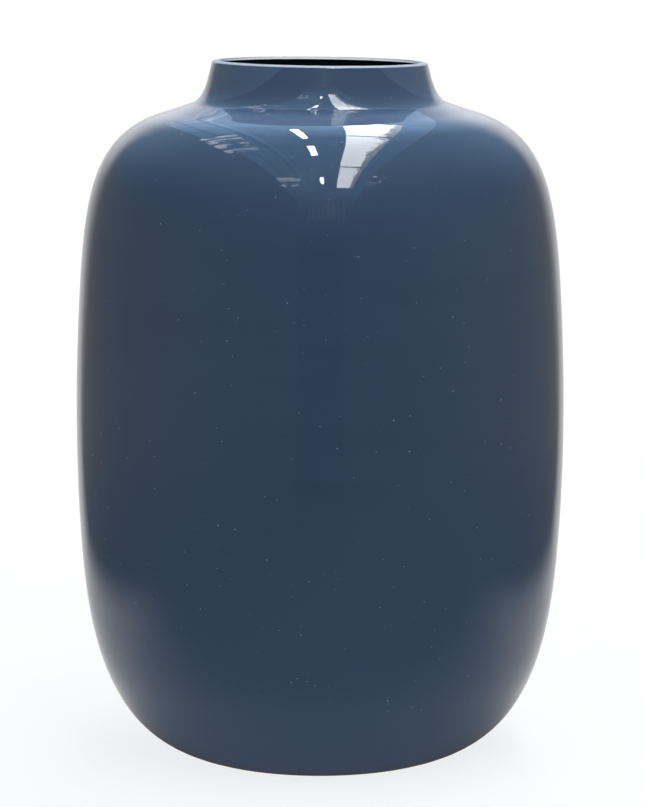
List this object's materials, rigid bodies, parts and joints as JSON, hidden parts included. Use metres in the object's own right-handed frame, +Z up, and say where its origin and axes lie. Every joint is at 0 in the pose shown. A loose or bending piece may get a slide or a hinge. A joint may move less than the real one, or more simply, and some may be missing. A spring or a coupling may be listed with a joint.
{
  "type": "flower vase",
  "caption": "Tall belly-shaped flower vase of opaque blue cased glass, with a short wide neck, a clear rounded lip, a dark inside and a flat foot to stand on.",
  "frame": {"origin": "the middle of the flat foot ring, on the vase's axis and at the level of the surface that it stands on", "axes": "+Z up along the axis of revolution, through the mouth; +X and +Y level; the vase looks the same from every side"},
  "size_m": [0.318, 0.318, 0.45],
  "materials": {
    "clear_glass": "clear blown glass, fire-polished outside and at the lip, with the foot ring ground flat and satin",
    "blue_glass": "opaque slate-blue glass, seen glossy through the clear casing",
    "dark_glass": "opaque near-black navy glass with a fire-polished inside"
  },
  "bodies": {
    "root": {"clear_outer_casing": "clear_glass", "blue_colour_layer": "blue_glass", "dark_inner_lining": "dark_glass"}
  },
  "joints": []
}
